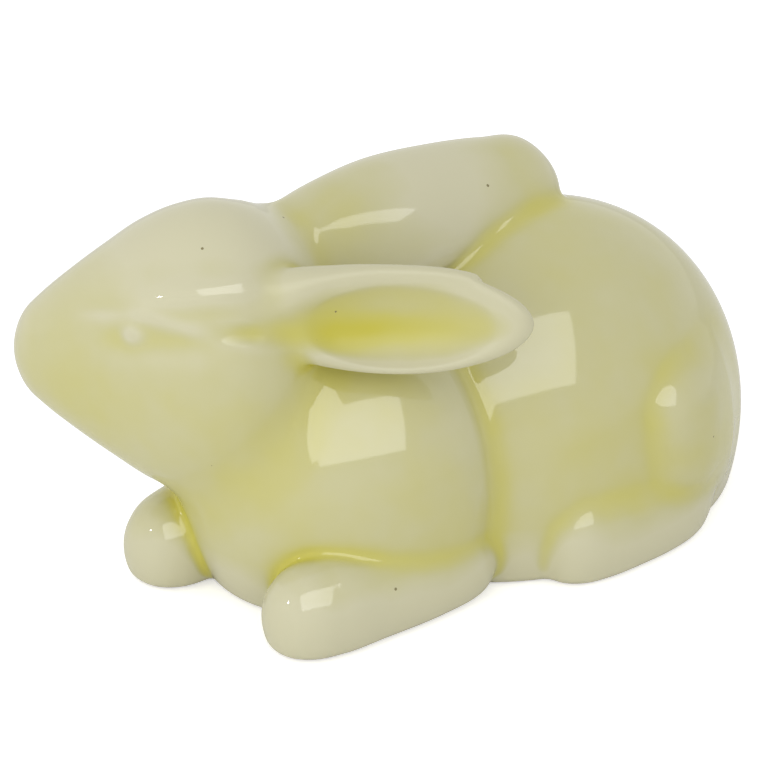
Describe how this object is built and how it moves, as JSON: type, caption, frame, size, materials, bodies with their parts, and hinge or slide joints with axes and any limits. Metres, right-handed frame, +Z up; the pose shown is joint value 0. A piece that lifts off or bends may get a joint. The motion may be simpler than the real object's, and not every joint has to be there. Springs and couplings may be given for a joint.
{
  "type": "ceramic rabbit figurine",
  "caption": "Hollow glazed ceramic rabbit figurine, crouching on a flat base with its head turned aside and its ears laid back.",
  "frame": {"origin": "on the flat base, under the trunk, on the line that the trunk runs along", "axes": "+Z up; the trunk runs along X with the chest towards -X and the rump towards +X; the rabbit's left is -Y"},
  "size_m": [0.1837, 0.1055, 0.1045],
  "materials": {
    "celadon_glaze": "glossy pale yellow celadon glaze, deeper yellow where it pools in creases and nearly white where it thins over ridges and rims"
  },
  "bodies": {
    "root": {"torso_shell": "celadon_glaze", "head_shell": "celadon_glaze", "left_ear": "celadon_glaze", "right_ear": "celadon_glaze", "left_forepaw": "celadon_glaze", "right_forepaw": "celadon_glaze", "left_hind_foot": "celadon_glaze", "right_hind_foot": "celadon_glaze", "tail": "celadon_glaze"}
  },
  "joints": []
}
